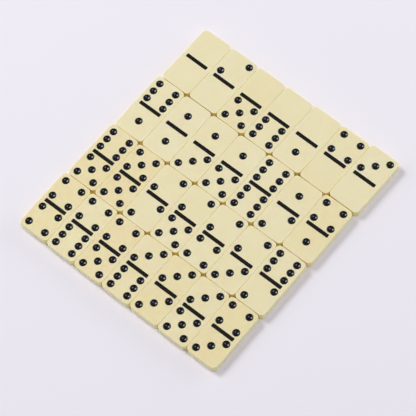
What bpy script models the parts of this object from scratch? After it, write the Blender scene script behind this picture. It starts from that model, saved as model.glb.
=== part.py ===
"""A complete double-six domino set: 28 ivory plastic tiles laid face up in four rows of seven.

Each tile is a moulded plate with rounded corners and edges. Its face has a round dish for every
pip and a straight groove between its two halves, with a bar of black enamel in the groove.
+X runs along the rows, +Y along the tiles, and +Z up. The origin is the middle of the block's
underside.
"""

import math

import bmesh
import bpy
from mathutils import Matrix, Vector

MM = 0.001

# One tile.
TILE_WIDTH = 23.9 * MM
TILE_LENGTH = 47.1 * MM
TILE_THICKNESS = 6.3 * MM
CORNER_RADIUS = 3.0 * MM
EDGE_RADIUS = 0.5 * MM
CORNER_SEGMENTS = 4
EDGE_SEGMENTS = 2

# The pips stand on a grid of three by three places in each half.
PIP_DIAMETER = 5.3 * MM
PIP_DEPTH = 1.0 * MM
PIP_COLUMN = 7.0 * MM
PIP_ROW = 6.78 * MM
HALF_CENTRE = 11.85 * MM
PIP_SEGMENTS = 12
PIP_RINGS = 8

# The divider between the halves.
GROOVE_LENGTH = 17.9 * MM
GROOVE_WIDTH = 2.7 * MM
GROOVE_DEPTH = 0.7 * MM
GROOVE_CORNER = 0.4 * MM
ENAMEL_THICKNESS = 0.4 * MM
ENAMEL_GAP = 0.1 * MM
CUTTER_RISE = 1.0 * MM

# Places of the pips in a half, as (column, row); row 1 is the far end of the half.
PIP_PLACES = {
    0: (),
    1: ((0, 0),),
    2: ((-1, -1), (1, 1)),
    3: ((-1, -1), (0, 0), (1, 1)),
    4: ((-1, -1), (1, -1), (-1, 1), (1, 1)),
    5: ((-1, -1), (1, -1), (0, 0), (-1, 1), (1, 1)),
    6: ((-1, -1), (1, -1), (-1, 0), (1, 0), (-1, 1), (1, 1)),
}

# The block: each row from the far one to the near one, laid by hand and so a little uneven.
# "05" is a tile with no pip in its far half and five in its near half. shift is the row's own
# displacement in x and y, slope the angle of its line of centres, turn the angle of its tiles,
# and steps how far each tile has slipped along its length. Lengths in mm, angles in degrees.
COLUMN_PITCH = 24.0 * MM
ROW_PITCH = 47.3 * MM
ROWS = (
    {
        "tiles": "00 20 05 06 01 40 30",
        "shift": (2.9, 0.1),
        "slope": -0.17,
        "turn": -0.6,
        "steps": (-0.05, -0.2, -0.45, -0.35, 0.05, -0.1, 1.1),
    },
    {
        "tiles": "61 11 13 15 66 12 41",
        "shift": (1.1, 0.0),
        "slope": 0.14,
        "turn": 0.15,
        "steps": (0.4, -0.1, -0.25, -0.3, 0.0, -0.35, 0.45),
    },
    {
        "tiles": "65 55 22 25 24 23 62",
        "shift": (0.0, 0.0),
        "slope": 0.0,
        "turn": 0.05,
        "steps": (0.3, -0.15, -0.25, -0.25, 0.15, -0.2, 0.5),
    },
    {
        "tiles": "44 46 45 36 33 35 43",
        "shift": (-1.3, 0.0),
        "slope": 0.14,
        "turn": 0.25,
        "steps": (0.4, 0.05, -0.15, -0.2, 0.1, -0.25, 0.25),
    },
)

IVORY = (0.84, 0.76, 0.50, 1.0)
BLACK = (0.012, 0.012, 0.014, 1.0)


def clear_scene():
    for thing in list(bpy.data.objects):
        bpy.data.objects.remove(thing, do_unlink=True)


def new_collection(name):
    collection = bpy.data.collections.new(name)
    bpy.context.scene.collection.children.link(collection)
    return collection


def make_material(name, colour, roughness):
    material = bpy.data.materials.new(name)
    material.use_nodes = True
    shader = material.node_tree.nodes["Principled BSDF"]
    shader.inputs["Base Color"].default_value = colour
    shader.inputs["Roughness"].default_value = roughness
    shader.inputs["Metallic"].default_value = 0.0
    return material


def mesh_from(bm, name, material=None):
    mesh = bpy.data.meshes.new(name)
    bm.to_mesh(mesh)
    bm.free()
    if material is not None:
        mesh.materials.append(material)
        mesh.shade_smooth()
        mesh.set_sharp_from_angle(angle=math.radians(40))
    return mesh


def add_object(name, mesh, collection, place):
    thing = bpy.data.objects.new(name, mesh)
    thing.matrix_world = place
    collection.objects.link(thing)
    return thing


def rounded_bar(bm, size, low, corner, segments):
    """Adds a box of that size standing on z = low, its four upright edges rounded."""
    made = bmesh.ops.create_cube(bm, size=1.0)
    bmesh.ops.scale(bm, vec=size, verts=made["verts"])
    bmesh.ops.translate(bm, vec=(0, 0, low + size[2] / 2), verts=made["verts"])
    edges = {edge for vert in made["verts"] for edge in vert.link_edges}
    uprights = [e for e in edges if abs(e.verts[0].co.z - e.verts[1].co.z) > size[2] / 2]
    bmesh.ops.bevel(
        bm, geom=uprights, offset=corner, segments=segments, profile=0.5, affect="EDGES"
    )


def blank_mesh(material):
    """A tile before its pips and groove are cut."""
    bm = bmesh.new()
    size = Vector((TILE_WIDTH, TILE_LENGTH, TILE_THICKNESS))
    rounded_bar(bm, size, 0.0, CORNER_RADIUS, CORNER_SEGMENTS)
    rims = [
        edge
        for edge in bm.edges
        if abs(edge.verts[0].co.z - edge.verts[1].co.z) < TILE_THICKNESS / 2
    ]
    bmesh.ops.bevel(
        bm, geom=rims, offset=EDGE_RADIUS, segments=EDGE_SEGMENTS, profile=0.5, affect="EDGES"
    )
    return mesh_from(bm, "blank", material)


def pip_centres(far_pips, near_pips):
    """Centres of a tile's pips in its own plane; the near half is the far one turned round."""
    for pips, side in ((far_pips, 1), (near_pips, -1)):
        for column, row in PIP_PLACES[pips]:
            yield Vector((side * column * PIP_COLUMN, side * (HALF_CENTRE + row * PIP_ROW), 0))


def cutter_mesh(name, far_pips, near_pips):
    """The tools that cut a tile's face: a ball for each pip and a bar for the groove."""
    bm = bmesh.new()
    groove = Vector((GROOVE_LENGTH, GROOVE_WIDTH, GROOVE_DEPTH + CUTTER_RISE))
    rounded_bar(bm, groove, TILE_THICKNESS - GROOVE_DEPTH, GROOVE_CORNER, 1)
    radius = ((PIP_DIAMETER / 2) ** 2 + PIP_DEPTH**2) / (2 * PIP_DEPTH)
    rise = Vector((0, 0, TILE_THICKNESS - PIP_DEPTH + radius))
    for centre in pip_centres(far_pips, near_pips):
        bmesh.ops.create_uvsphere(
            bm,
            u_segments=PIP_SEGMENTS,
            v_segments=PIP_RINGS,
            radius=radius,
            matrix=Matrix.Translation(centre + rise),
        )
    return mesh_from(bm, name)


def enamel_mesh(material):
    """The bar of black enamel that lies in the groove."""
    bm = bmesh.new()
    size = Vector((GROOVE_LENGTH, GROOVE_WIDTH, 0)) - Vector((1, 1, 0)) * 2 * ENAMEL_GAP
    size.z = ENAMEL_THICKNESS
    low = TILE_THICKNESS - GROOVE_DEPTH + ENAMEL_GAP
    rounded_bar(bm, size, low, GROOVE_CORNER, 1)
    return mesh_from(bm, "divider", material)


def cut(thing, cutter):
    cutter.hide_render = True
    cutter.display_type = "WIRE"
    boolean = thing.modifiers.new("face", "BOOLEAN")
    boolean.operation = "DIFFERENCE"
    boolean.solver = "EXACT"
    boolean.object = cutter


def tile_places():
    """Yields far pips, near pips, centre and angle of every tile, before the block is centred."""
    for index, row in enumerate(ROWS):
        middle = Vector(row["shift"]) * MM
        middle.y += ((len(ROWS) - 1) / 2 - index) * ROW_PITCH
        slope = math.radians(row["slope"])
        along = Vector((math.cos(slope), math.sin(slope))) * COLUMN_PITCH
        tiles = row["tiles"].split()
        for column, (pips, step) in enumerate(zip(tiles, row["steps"])):
            centre = middle + along * (column - (len(tiles) - 1) / 2)
            centre.y += step * MM
            yield int(pips[0]), int(pips[1]), centre, math.radians(row["turn"])


def reach(angle):
    """Half the width and half the length that a turned tile takes up, its round corners kept."""
    half_width = TILE_WIDTH / 2 - CORNER_RADIUS
    half_length = TILE_LENGTH / 2 - CORNER_RADIUS
    c, s = math.cos(angle), abs(math.sin(angle))
    return Vector(
        (
            half_width * c + half_length * s + CORNER_RADIUS,
            half_length * c + half_width * s + CORNER_RADIUS,
        )
    )


def block_centre(places):
    highs = [centre + reach(angle) for _, _, centre, angle in places]
    lows = [centre - reach(angle) for _, _, centre, angle in places]
    middle = [
        (max(high[k] for high in highs) + min(low[k] for low in lows)) / 2 for k in (0, 1)
    ]
    return Vector(middle)


def build():
    clear_scene()
    dominoes = new_collection("domino_set")
    cutters = new_collection("cutters")
    ivory = make_material("ivory_plastic", IVORY, 0.3)
    black = make_material("black_enamel", BLACK, 0.2)
    blank = blank_mesh(ivory)
    enamel = enamel_mesh(black)
    places = list(tile_places())
    centre_of_block = block_centre(places)
    for far, near, centre, angle in places:
        number = f"{max(far, near)}_{min(far, near)}"
        at = (centre - centre_of_block).to_3d()
        place = Matrix.Translation(at) @ Matrix.Rotation(angle, 4, "Z")
        tile = add_object(f"tile_{number}", blank, dominoes, place)
        cutter = add_object(
            f"face_cutter_{number}", cutter_mesh(f"face_{number}", far, near), cutters, place
        )
        cut(tile, cutter)
        add_object(f"divider_{number}", enamel, dominoes, place)


build()
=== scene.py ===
"""Looks of the double-six domino set: moulded ivory tiles, black enamel pips and divider bars.

Every CAD tile is replaced by a finely rounded shell with dished pips and a groove. The enamel in
them is a set of thin pieces of its own, and every piece rides on the body of its tile.
"""

import math
import random

import bmesh
import bpy
import numpy as np
from mathutils import Matrix, Quaternion, Vector


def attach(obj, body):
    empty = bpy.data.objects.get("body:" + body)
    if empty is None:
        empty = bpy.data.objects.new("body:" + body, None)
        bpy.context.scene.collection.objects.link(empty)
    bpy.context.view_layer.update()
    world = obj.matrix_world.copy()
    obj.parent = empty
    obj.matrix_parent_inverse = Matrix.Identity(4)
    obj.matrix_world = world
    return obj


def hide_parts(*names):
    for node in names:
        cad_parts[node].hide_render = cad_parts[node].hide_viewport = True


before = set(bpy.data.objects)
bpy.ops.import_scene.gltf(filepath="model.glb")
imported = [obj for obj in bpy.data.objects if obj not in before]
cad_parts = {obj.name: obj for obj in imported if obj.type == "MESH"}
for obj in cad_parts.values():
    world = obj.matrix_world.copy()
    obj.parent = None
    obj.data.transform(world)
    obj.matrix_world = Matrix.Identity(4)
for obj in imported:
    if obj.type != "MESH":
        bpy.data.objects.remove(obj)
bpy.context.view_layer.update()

MM = 0.001

# The tiles as they lie, from the far row to the near one; "05" has its five in the near half.
LAYOUT = (
    "00 20 05 06 01 40 30",
    "61 11 13 15 66 12 41",
    "65 55 22 25 24 23 62",
    "44 46 45 36 33 35 43",
)

# The plastic tile. Its width, length, thickness and place come from its CAD node. Its ends and
# sides fall back by the crowns towards the corners. HOLD is a narrow strip beside each rounded
# edge that keeps the flat faces' shading flat, and WELD finds the points of the underside.
CORNER_RADIUS = 3.0 * MM
EDGE_RADIUS = 0.3 * MM
CORNER_STEPS = 12
SIDE_STEPS = 8
END_CROWN = 0.12 * MM
SIDE_CROWN = 0.03 * MM
EDGE_STEPS = 5
HOLD = 0.05 * MM
WELD = 0.001 * MM

# The pips: three by three places in each half, each a round dish with a rounded lip. For each
# number of pips, PIP_PLACES lists (column, row); row 1 is the one at the tile's end.
PIP_RADIUS = 2.66 * MM
PIP_COLUMN = 7.0 * MM
PIP_ROW = 6.78 * MM
HALF_CENTRE = 11.85 * MM
PIP_PLACES = {
    0: (),
    1: ((0, 0),),
    2: ((-1, -1), (1, 1)),
    3: ((-1, -1), (0, 0), (1, 1)),
    4: ((-1, -1), (1, -1), (-1, 1), (1, 1)),
    5: ((-1, -1), (1, -1), (0, 0), (-1, 1), (1, 1)),
    6: ((-1, -1), (1, -1), (-1, 0), (1, 0), (-1, 1), (1, 1)),
}
PIP_STEPS = 40
LIP_RADIUS = 0.2 * MM
LIP_STEPS = 3
DISH_SLOPE = math.radians(50)
FLOOR_SLOPE = math.radians(26)
FLOOR_RADIUS = 2.1 * MM
WALL_STEPS = 5
FLOOR_STEPS = 6

# The groove between the halves.
GROOVE_LENGTH = 17.9 * MM
GROOVE_WIDTH = 2.7 * MM
GROOVE_CORNER = 0.6 * MM
GROOVE_SLOPE = math.radians(62)
GROOVE_WALL = 0.45 * MM
GROOVE_FILLET = 0.25 * MM
FILLET_STEPS = 4

# The enamel: a thin coat that lines each recess and ends on a slightly uneven edge.
COAT = 0.08 * MM
COAT_EDGE = 0.03 * MM
COAT_ROOT = 0.05 * MM
COAT_GROWTH = 0.3 * MM
COAT_WOBBLE = 0.025 * MM
WAVES = (2, 3, 5)
WAVE_SIZES = (0.2, 1.0)

# The ivory plastic: lighter and warmer faces, and painted bounce light: a deeper yellow painted
# on the walls and in the corners for the light that bounces between the tiles and in the plastic.
IVORY_LIGHT = (0.956, 0.823, 0.556, 1.0)
IVORY_WARM = (0.922, 0.778, 0.46, 1.0)
IVORY_PAINTED_BOUNCE = (0.99, 0.852, 0.51, 1.0)
IVORY_CORNER_PAINTED_BOUNCE = (0.98, 0.85, 0.17, 1.0)
IVORY_SCATTER = (0.55 * MM, 0.6 * MM, 0.4 * MM)
IVORY_IOR = 1.5
IVORY_ROUGHNESS = (0.27, 0.38)
TONES = (0.1, 0.9)
DRIFT = 0.2
PAINTED_BOUNCE_FROM = 0.03 * MM
PAINTED_BOUNCE_TO = 0.4 * MM

# The black enamel: glossy in the pips, a little duller and browner on the flat bars.
PIP_BLACKS = ((0.002, 0.002, 0.002, 1.0), (0.004, 0.003, 0.003, 1.0))
PIP_ROUGHNESS = (0.04, 0.08)
BAR_BLACKS = ((0.008, 0.0055, 0.004, 1.0), (0.012, 0.0085, 0.0065, 1.0))
BAR_ROUGHNESS = (0.12, 0.2)
ENAMEL_IOR = 1.46

# Noises, as scale in cells per metre, detail and roughness; the part of their range that is
# used; and the relief of the fine skin.
CLOUDS = (70, 3, 0.5)
SMEARS = (260, 5, 0.6)
PATCHES = (500, 3, 0.5)
IVORY_GRAIN = (1400, 3, 0.5)
ENAMEL_GRAIN = (1800, 2, 0.5)
NOISE_RANGE = (0.3, 0.7)
SKIN_HEIGHT = 0.02 * MM
IVORY_SKIN = 0.12
ENAMEL_SKIN = 0.04

# Each piece has its own seed, so that no two tiles look the same.
SET_SEED = 28
SEED_REACH = 10

# The camera, at the photograph's viewing angle.
CAMERA_AZIMUTH = math.radians(46.2)
CAMERA_ELEVATION = math.radians(65.15)
CAMERA_ROLL = math.radians(-7.2)
CAMERA_DISTANCE = 1.4196
CAMERA_AIM = Vector((0.0041, -0.0071, 0.0))
CAMERA_LENS = 185.0
CAMERA_SENSOR = 36.0

# Soft studio light: name, azimuth and elevation in degrees, distance and (width, height) in
# metres, and watts.
SOFTBOXES = (
    ("key", 271, 50, 2.4, (0.82, 0.82), 23.8),
    ("left", 298, 30, 3.2, (3.2, 1.9), 26.5),
    ("right", 112, 46, 2.4, (1.4, 0.8), 4.3),
    ("back", 150, 18, 1.3, (1.6, 0.45), 5.6),
    ("top", 129, 79, 2.4, (0.4, 0.4), 7.0),
)
WORLD_COLOUR = (0.87, 0.96, 1.09, 1.0)
WORLD_STRENGTH = 0.26
FLOOR_COLOUR = (0.918, 0.868, 0.916, 1.0)
FLOOR_ROUGHNESS = 0.7
FLOOR_REACH = 6.0

# Light has to bounce many times to reach the bottom of the gaps between the tiles.
DIFFUSE_BOUNCES = 12


# Where each tile lies ---------------------------------------------------------------------------


class Tile:
    """One tile of the set: its name, its pips, and its size and place as its CAD node has them."""

    def __init__(self, pips):
        self.far, self.near = int(pips[0]), int(pips[1])
        self.number = f"{max(self.far, self.near)}_{min(self.far, self.near)}"
        self.node = f"tile_{self.number}"
        points = np.array([v.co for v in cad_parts[self.node].data.vertices])
        floor = points[:, 2].min()
        under = np.unique(points[points[:, 2] < floor + WELD].round(6), axis=0)[:, :2]
        middle = (under.min(axis=0) + under.max(axis=0)) / 2
        across, along = np.linalg.eigh(np.cov((under - middle).T))[1].T
        along = along * np.sign(along[1])
        angle = math.atan2(-along[0], along[1])
        self.place = Matrix.Translation((*middle, floor)) @ Matrix.Rotation(angle, 4, "Z")
        self.width = 2 * np.abs((points[:, :2] - middle) @ across).max()
        self.length = 2 * np.abs((points[:, :2] - middle) @ along).max()
        self.top = points[:, 2].max() - floor

    def pip_centres(self):
        """The near half is the far one's pattern turned half round."""
        for pips, side in ((self.far, 1), (self.near, -1)):
            for column, row in PIP_PLACES[pips]:
                yield Vector((side * column * PIP_COLUMN, side * (HALF_CENTRE + row * PIP_ROW)))


# Outlines and profiles --------------------------------------------------------------------------


def rounded_outline(length_x, length_y, corner, inset):
    """A rectangle with rounded corners, drawn in by inset, as anticlockwise points."""
    radius = corner - inset
    points = []
    for quarter, (sign_x, sign_y) in enumerate(((1, 1), (-1, 1), (-1, -1), (1, -1))):
        middle = Vector((sign_x * (length_x / 2 - corner), sign_y * (length_y / 2 - corner)))
        for k in range(CORNER_STEPS + 1):
            angle = (quarter + k / CORNER_STEPS) * math.pi / 2
            points.append(middle + radius * Vector((math.cos(angle), math.sin(angle))))
    return points


def tile_outline(tile, inset):
    """The tile's outline, whose ends and sides fall back a little towards the corners."""
    corners = rounded_outline(tile.width, tile.length, CORNER_RADIUS, inset)
    reach = Vector((tile.width / 2 - CORNER_RADIUS, tile.length / 2 - CORNER_RADIUS))
    points = []
    for k, corner in enumerate(corners):
        points.append(corner)
        if (k + 1) % (CORNER_STEPS + 1) == 0:
            other = corners[(k + 1) % len(corners)]
            points += [corner.lerp(other, i / SIDE_STEPS) for i in range(1, SIDE_STEPS)]
    for point in points:
        share_x, share_y = min(1, abs(point.x) / reach.x), min(1, abs(point.y) / reach.y)
        point.x -= math.copysign(SIDE_CROWN * share_y**2, point.x)
        point.y -= math.copysign(END_CROWN * share_x**2, point.y)
    return points


def circle(centre, radii):
    """Points round a centre, one for each radius."""
    turn = 2 * math.pi / len(radii)
    return [
        centre + radius * Vector((math.cos(k * turn), math.sin(k * turn)))
        for k, radius in enumerate(radii)
    ]


def arc(start, end, count):
    """Evenly spaced angles from start to end, both included."""
    return [start + (end - start) * k / count for k in range(count + 1)]


def lip_profile(slope):
    """(inset, depth) from the flat face over the rounded lip, to inset 0 where the slope starts."""
    edge = -LIP_RADIUS * math.sin(slope)
    points = [
        (edge + LIP_RADIUS * math.sin(a), LIP_RADIUS * (1 - math.cos(a)))
        for a in arc(0, slope, LIP_STEPS)
    ]
    return [(edge - HOLD, 0.0)] + points


def dish_profile():
    """(inset, depth) from the pip's edge down its wall and across its round floor to the middle."""
    edge_sine, edge_cosine = math.sin(DISH_SLOPE), math.cos(DISH_SLOPE)
    start = LIP_RADIUS * (1 - edge_cosine)
    wall = (PIP_RADIUS - FLOOR_RADIUS) / (edge_sine - math.sin(FLOOR_SLOPE))
    points = [
        (wall * (edge_sine - math.sin(a)), start + wall * (math.cos(a) - edge_cosine))
        for a in arc(DISH_SLOPE, FLOOR_SLOPE, WALL_STEPS)
    ]
    foot = points[-1][1]
    ball = FLOOR_RADIUS / math.sin(FLOOR_SLOPE)
    return points + [
        (PIP_RADIUS - ball * math.sin(a), foot + ball * (math.cos(a) - math.cos(FLOOR_SLOPE)))
        for a in arc(FLOOR_SLOPE, 0, FLOOR_STEPS)[1:]
    ]


def dish_middle(tile, centre):
    """The lowest point of the dish at that centre."""
    return Vector((centre.x, centre.y, tile.top - dish_profile()[-1][1]))


def groove_profile():
    """(inset, depth) from the groove's edge down its wall and through the fillet to its floor."""
    start = LIP_RADIUS * (1 - math.cos(GROOVE_SLOPE))
    wall_inset = GROOVE_WALL * math.cos(GROOVE_SLOPE)
    wall_depth = start + GROOVE_WALL * math.sin(GROOVE_SLOPE)
    fillet = [
        (
            wall_inset + GROOVE_FILLET * (math.sin(GROOVE_SLOPE) - math.sin(a)),
            wall_depth + GROOVE_FILLET * (math.cos(a) - math.cos(GROOVE_SLOPE)),
        )
        for a in arc(GROOVE_SLOPE, 0, FILLET_STEPS)
    ]
    return [(0.0, start)] + fillet


def edge_profile(thickness):
    """(inset, height) down the tile's edge, from the face to the underside."""
    top = [
        (EDGE_RADIUS * (1 - math.sin(a)), thickness - EDGE_RADIUS * (1 - math.cos(a)))
        for a in arc(0, math.pi / 2, EDGE_STEPS)
    ]
    bottom = [(inset, thickness - z) for inset, z in top[::-1]]
    held = EDGE_RADIUS + HOLD
    wall = [(0.0, thickness - held), (0.0, held)]
    return [(held, thickness)] + top + wall + bottom + [(held, 0.0)]


# Shells -----------------------------------------------------------------------------------------


class Shell:
    """Collects rings of points and the faces between them into one closed mesh."""

    def __init__(self):
        self.bm = bmesh.new()

    def ring(self, points, z):
        return [self.bm.verts.new((p.x, p.y, z)) for p in points]

    def bridge(self, rings):
        """Quads between each ring and the next."""
        for upper, lower in zip(rings, rings[1:]):
            for k in range(len(upper)):
                self.bm.faces.new((upper[k - 1], upper[k], lower[k], lower[k - 1]))

    def close(self, ring, tip=None):
        """Closes a ring with one flat face, or with a fan of faces to a tip."""
        if tip is None:
            self.bm.faces.new(ring)
            return
        centre = self.bm.verts.new(tip)
        for k in range(len(ring)):
            self.bm.faces.new((ring[k - 1], ring[k], centre))

    def fill_between(self, rings):
        """The flat face inside the first ring and round the others."""
        edges = [
            self.bm.edges.get((ring[k - 1], ring[k])) for ring in rings for k in range(len(ring))
        ]
        bmesh.ops.triangle_fill(self.bm, use_beauty=True, edges=edges)

    def make(self, name, tile, material):
        """The finished piece, in its place, riding on its tile's body."""
        bmesh.ops.recalc_face_normals(self.bm, faces=self.bm.faces)
        mesh = bpy.data.meshes.new(name)
        self.bm.to_mesh(mesh)
        self.bm.free()
        mesh.shade_smooth()
        mesh.materials.append(material)
        piece = bpy.data.objects.new(name, mesh)
        piece.matrix_world = tile.place
        bpy.context.scene.collection.objects.link(piece)
        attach(piece, tile.node)
        return piece


def recess(shell, top, profile, outline, tip=None):
    """Cuts a recess: the lip's outermost ring is returned, for the face to be filled round it."""
    rings = [shell.ring(outline(inset), top - depth) for inset, depth in profile]
    shell.bridge(rings)
    shell.close(rings[-1], tip)
    return rings[0]


def groove_outline(inset):
    return rounded_outline(GROOVE_LENGTH, GROOVE_WIDTH, GROOVE_CORNER, inset)


def make_plastic(tile, material):
    """The moulded plastic of one tile."""
    shell = Shell()
    rings = [shell.ring(tile_outline(tile, inset), z) for inset, z in edge_profile(tile.top)]
    shell.bridge(rings)
    shell.close(rings[-1])
    edges = [rings[0]]
    groove = lip_profile(GROOVE_SLOPE) + groove_profile()[1:]
    edges.append(recess(shell, tile.top, groove, groove_outline))
    dish = lip_profile(DISH_SLOPE) + dish_profile()[1:-1]
    for centre in tile.pip_centres():

        def outline(inset, centre=centre):
            return circle(centre, [PIP_RADIUS - inset] * PIP_STEPS)

        edges.append(recess(shell, tile.top, dish, outline, dish_middle(tile, centre)))
    shell.fill_between(edges)
    return shell.make(f"plastic_{tile.number}", tile, material)


def coat_growth(inset):
    """The coat's thickness above the recess, thin at its edge and full a little further in."""
    share = min(1.0, max(0.0, inset) / COAT_GROWTH)
    return COAT_EDGE + (COAT - COAT_EDGE) * math.sin(share * math.pi / 2)


def coat(shell, top, profile, outline, tip=None):
    """A closed coat of enamel on a recess of that profile."""
    upper = [
        shell.ring(outline(inset), top - depth + coat_growth(inset)) for inset, depth in profile
    ]
    lower = [shell.ring(outline(inset), top - depth - COAT_ROOT) for inset, depth in profile]
    shell.bridge(upper[::-1] + lower)
    over = under = None
    if tip is not None:
        over, under = tip + Vector((0, 0, COAT)), tip - Vector((0, 0, COAT_ROOT))
    shell.close(upper[-1], over)
    shell.close(lower[-1], under)


def uneven_edge(draw):
    """How far a painted pip's edge strays from its circle, point by point."""
    waves = [(n, draw.uniform(*WAVE_SIZES) / n, draw.uniform(0, 2 * math.pi)) for n in WAVES]
    turn = 2 * math.pi / PIP_STEPS
    return [
        COAT_WOBBLE * sum(size * math.cos(n * k * turn + start) for n, size, start in waves)
        for k in range(PIP_STEPS)
    ]


def make_pips(tile, material, draw):
    """The enamel of all of a tile's pips."""
    shell = Shell()
    for centre in tile.pip_centres():
        strays = uneven_edge(draw)

        def outline(inset, centre=centre, strays=strays):
            reach = PIP_RADIUS - inset
            return circle(centre, [reach + stray * reach / PIP_RADIUS for stray in strays])

        coat(shell, tile.top, dish_profile()[:-1], outline, dish_middle(tile, centre))
    return shell.make(f"pips_{tile.number}", tile, material)


def make_bar(tile, material):
    """The enamel of a tile's divider."""
    shell = Shell()
    coat(shell, tile.top, groove_profile(), groove_outline)
    return shell.make(f"bar_{tile.number}", tile, material)


# Materials --------------------------------------------------------------------------------------


def new_material(name):
    """A new material, with its nodes and its links."""
    material = bpy.data.materials.new(name)
    material.use_nodes = True
    return material, material.node_tree.nodes, material.node_tree.links


def add_noise(nodes, links, vector, scale, detail, roughness):
    noise = nodes.new("ShaderNodeTexNoise")
    noise.inputs["Scale"].default_value = scale
    noise.inputs["Detail"].default_value = detail
    noise.inputs["Roughness"].default_value = roughness
    links.new(vector, noise.inputs["Vector"])
    return noise.outputs["Fac"]


def add_range(nodes, links, value, old, new):
    """The value, moved from the old range to the new one and held inside it."""
    remap = nodes.new("ShaderNodeMapRange")
    remap.inputs["From Min"].default_value, remap.inputs["From Max"].default_value = old
    remap.inputs["To Min"].default_value, remap.inputs["To Max"].default_value = new
    links.new(value, remap.inputs["Value"])
    return remap.outputs["Result"]


def add_maths(nodes, links, operation, first, second):
    """A maths node of one operation; second is a number or a socket."""
    node = nodes.new("ShaderNodeMath")
    node.operation = operation
    links.new(first, node.inputs[0])
    if isinstance(second, float):
        node.inputs[1].default_value = second
    else:
        links.new(second, node.inputs[1])
    return node.outputs["Value"]


def add_mix(nodes, links, factor, first, second):
    """A colour mix; first and second are colours or sockets."""
    mix = nodes.new("ShaderNodeMix")
    mix.data_type = "RGBA"
    links.new(factor, mix.inputs["Factor"])
    for name, value in (("A", first), ("B", second)):
        socket = next(s for s in mix.inputs if s.name == name and s.type == "RGBA")
        if isinstance(value, tuple):
            socket.default_value = value
        else:
            links.new(value, socket)
    return next(s for s in mix.outputs if s.type == "RGBA")


def own_number(nodes, name):
    """A number that each piece carries as a property of that name."""
    attribute = nodes.new("ShaderNodeAttribute")
    attribute.attribute_type = "OBJECT"
    attribute.attribute_name = name
    return attribute.outputs["Fac"]


def own_coordinates(nodes, links):
    """Object coordinates, moved by each piece's own seed."""
    shifted = nodes.new("ShaderNodeVectorMath")
    shifted.operation = "ADD"
    links.new(nodes.new("ShaderNodeTexCoord").outputs["Object"], shifted.inputs[0])
    links.new(own_number(nodes, "seed"), shifted.inputs[1])
    return shifted.outputs["Vector"]


def split_coordinates(nodes, links):
    """Object coordinates as three numbers; the origin is the middle of the tile's underside."""
    split = nodes.new("ShaderNodeSeparateXYZ")
    links.new(nodes.new("ShaderNodeTexCoord").outputs["Object"], split.inputs["Vector"])
    return split.outputs


def add_skin(nodes, links, shader, height, strength):
    """The fine unevenness of the surface, from a noise."""
    bump = nodes.new("ShaderNodeBump")
    bump.inputs["Strength"].default_value = strength
    bump.inputs["Distance"].default_value = SKIN_HEIGHT
    links.new(height, bump.inputs["Height"])
    links.new(bump.outputs["Normal"], shader.inputs["Normal"])


def painted_bounce_on_walls(nodes, links, thickness):
    """Where painted bounce light goes: 0 on the faces and 1 on the walls, which are painted a
    deeper yellow for the light that bounces between the tiles and through the plastic.
    """
    height = split_coordinates(nodes, links)["Z"]
    above = add_maths(nodes, links, "SUBTRACT", height, thickness / 2)
    away = add_maths(nodes, links, "MULTIPLY", above, above)
    near, far = (thickness / 2 - PAINTED_BOUNCE_FROM) ** 2, (thickness / 2 - PAINTED_BOUNCE_TO) ** 2
    return add_range(nodes, links, away, (far, near), (1.0, 0.0))


def painted_bounce_in_corners(nodes, links, tile):
    """Where painted bounce light deepens: 0 along the straight sides, rising to a half in the
    middle of the four round corners.
    """
    place = split_coordinates(nodes, links)
    shares = []
    for axis, size in (("X", tile.width), ("Y", tile.length)):
        reach = add_maths(nodes, links, "ABSOLUTE", place[axis], 0.0)
        corner = (size / 2 - CORNER_RADIUS, size / 2)
        shares.append(add_range(nodes, links, reach, corner, (0.0, 1.0)))
    return add_maths(nodes, links, "MULTIPLY", *shares)


def ivory_material(tile):
    """The tiles' plastic; all tiles have the size of this one."""
    material, nodes, links = new_material("ivory_plastic")
    shader = nodes["Principled BSDF"]
    place = own_coordinates(nodes, links)
    clouds = add_noise(nodes, links, place, *CLOUDS)
    drift = add_range(nodes, links, clouds, NOISE_RANGE, (-DRIFT, DRIFT))
    shade = add_maths(nodes, links, "ADD", own_number(nodes, "tone"), drift)
    face_colour = add_mix(nodes, links, shade, IVORY_LIGHT, IVORY_WARM)
    # Painted bounce light: the walls, and the round corners most, are painted a deeper yellow for
    # the light that bounces between the tiles and through the plastic.
    corner = painted_bounce_in_corners(nodes, links, tile)
    painted_bounce_colour = add_mix(nodes, links, corner, IVORY_PAINTED_BOUNCE, IVORY_CORNER_PAINTED_BOUNCE)
    depth = painted_bounce_on_walls(nodes, links, tile.top)
    colour = add_mix(nodes, links, depth, face_colour, painted_bounce_colour)
    links.new(colour, shader.inputs["Base Color"])
    smears = add_noise(nodes, links, place, *SMEARS)
    gloss = add_range(nodes, links, smears, NOISE_RANGE, IVORY_ROUGHNESS)
    links.new(gloss, shader.inputs["Roughness"])
    shader.inputs["Subsurface Weight"].default_value = 1.0
    shader.inputs["Subsurface Radius"].default_value = IVORY_SCATTER
    shader.inputs["Subsurface Scale"].default_value = 1.0
    shader.inputs["IOR"].default_value = IVORY_IOR
    relief = add_noise(nodes, links, place, *IVORY_GRAIN)
    add_skin(nodes, links, shader, relief, IVORY_SKIN)
    return material


def enamel_material(name, blacks, roughness):
    material, nodes, links = new_material(name)
    shader = nodes["Principled BSDF"]
    place = own_coordinates(nodes, links)
    patches = add_noise(nodes, links, place, *PATCHES)
    links.new(add_mix(nodes, links, patches, *blacks), shader.inputs["Base Color"])
    gloss = add_range(nodes, links, patches, NOISE_RANGE, roughness)
    links.new(gloss, shader.inputs["Roughness"])
    shader.inputs["IOR"].default_value = ENAMEL_IOR
    relief = add_noise(nodes, links, place, *ENAMEL_GRAIN)
    add_skin(nodes, links, shader, relief, ENAMEL_SKIN)
    return material


# Stage ------------------------------------------------------------------------------------------


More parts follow.
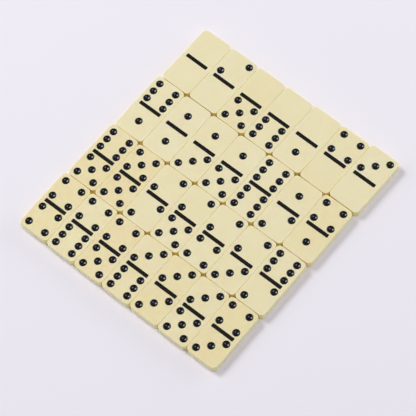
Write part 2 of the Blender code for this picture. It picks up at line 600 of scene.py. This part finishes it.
def make_floor():
    bm = bmesh.new()
    bmesh.ops.create_grid(bm, x_segments=1, y_segments=1, size=FLOOR_REACH)
    mesh = bpy.data.meshes.new("floor")
    bm.to_mesh(mesh)
    bm.free()
    material, nodes, _ = new_material("floor")
    shader = nodes["Principled BSDF"]
    shader.inputs["Base Color"].default_value = FLOOR_COLOUR
    shader.inputs["Roughness"].default_value = FLOOR_ROUGHNESS
    mesh.materials.append(material)
    floor = bpy.data.objects.new("floor", mesh)
    bpy.context.scene.collection.objects.link(floor)


def direction(azimuth, elevation):
    """The unit vector from the set towards a camera or lamp; azimuth 0 is on the near side."""
    return Vector(
        (
            math.sin(azimuth) * math.cos(elevation),
            -math.cos(azimuth) * math.cos(elevation),
            math.sin(elevation),
        )
    )


def add_softbox(name, azimuth, elevation, distance, size, power):
    lamp = bpy.data.lights.new(name, "AREA")
    lamp.shape = "RECTANGLE"
    lamp.size, lamp.size_y = size
    lamp.energy = power
    back = direction(math.radians(azimuth), math.radians(elevation))
    thing = bpy.data.objects.new(name, lamp)
    thing.location = back * distance
    thing.rotation_euler = back.to_track_quat("Z", "Y").to_euler()
    bpy.context.scene.collection.objects.link(thing)


def make_lights():
    for softbox in SOFTBOXES:
        add_softbox(*softbox)
    world = bpy.data.worlds.new("studio")
    world.use_nodes = True
    background = world.node_tree.nodes["Background"]
    background.inputs["Color"].default_value = WORLD_COLOUR
    background.inputs["Strength"].default_value = WORLD_STRENGTH
    bpy.context.scene.world = world


def make_camera():
    lens = bpy.data.cameras.new("camera")
    lens.lens = CAMERA_LENS
    lens.sensor_width = CAMERA_SENSOR
    camera = bpy.data.objects.new("camera", lens)
    back = direction(CAMERA_AZIMUTH, CAMERA_ELEVATION)
    camera.location = CAMERA_AIM + back * CAMERA_DISTANCE
    level = back.to_track_quat("Z", "Y")
    camera.rotation_euler = (level @ Quaternion((0, 0, 1), CAMERA_ROLL)).to_euler()
    bpy.context.scene.collection.objects.link(camera)
    bpy.context.scene.camera = camera


# The set ----------------------------------------------------------------------------------------


def make_set():
    tiles = [Tile(pips) for pips in " ".join(LAYOUT).split()]
    ivory = ivory_material(tiles[0])
    pip_enamel = enamel_material("pip_enamel", PIP_BLACKS, PIP_ROUGHNESS)
    bar_enamel = enamel_material("bar_enamel", BAR_BLACKS, BAR_ROUGHNESS)
    draw = random.Random(SET_SEED)
    for tile in tiles:
        plastic = make_plastic(tile, ivory)
        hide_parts(tile.node)
        plastic["seed"] = draw.uniform(0, SEED_REACH)
        plastic["tone"] = draw.uniform(*TONES)
        bar = make_bar(tile, bar_enamel)
        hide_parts(f"divider_{tile.number}")
        bar["seed"] = draw.uniform(0, SEED_REACH)
        if tile.far + tile.near:
            seed = draw.uniform(0, SEED_REACH)
            pips = make_pips(tile, pip_enamel, draw)
            pips["seed"] = seed


make_set()
make_floor()
make_lights()
make_camera()
bpy.context.scene.view_settings.view_transform = "Standard"
bpy.context.scene.cycles.diffuse_bounces = DIFFUSE_BOUNCES
